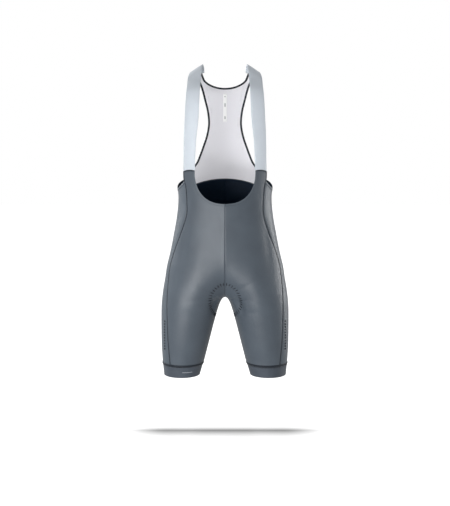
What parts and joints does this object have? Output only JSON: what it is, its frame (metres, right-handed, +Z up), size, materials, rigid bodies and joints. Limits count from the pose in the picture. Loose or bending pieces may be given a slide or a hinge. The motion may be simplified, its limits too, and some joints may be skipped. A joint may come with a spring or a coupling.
{
  "type": "cycling bib shorts",
  "caption": "Hollow, worn-shape cycling bib shorts: fitted panels, gripper hem bands, shoulder straps and a racer-shaped mesh back.",
  "frame": {"origin": "on the wearer's shoulders, midway between the tops of the two straps, 0.858 m above the hem", "axes": "+Z up, +Y from the front to the back, so the front faces -Y; +X is the wearer's left"},
  "size_m": [0.3588, 0.2187, 0.8648],
  "materials": {
    "panel_lycra": "smooth warp-knit lycra with a soft sheen",
    "side_lycra": "smooth warp-knit lycra with a soft sheen",
    "hem_elastic": "matt dense elastic knit",
    "strap_elastic": "smooth bonded elastic",
    "back_mesh": "fine matt mesh knit",
    "edge_binding": "matt folded elastic tape",
    "pad_foam": "brushed knit over soft foam",
    "label_tape": "smooth heat-set tape"
  },
  "bodies": {
    "root": {"front_left": "panel_lycra", "front_right": "panel_lycra", "back_left": "panel_lycra", "back_right": "panel_lycra", "side_left": "side_lycra", "side_right": "side_lycra", "hem_band_left": "hem_elastic", "hem_band_right": "hem_elastic", "strap_left": "strap_elastic", "strap_right": "strap_elastic", "mesh_back": "back_mesh", "neck_binding": "edge_binding", "armhole_binding_left": "edge_binding", "armhole_binding_right": "edge_binding", "seat_pad": "pad_foam", "neck_label": "label_tape"}
  },
  "joints": []
}
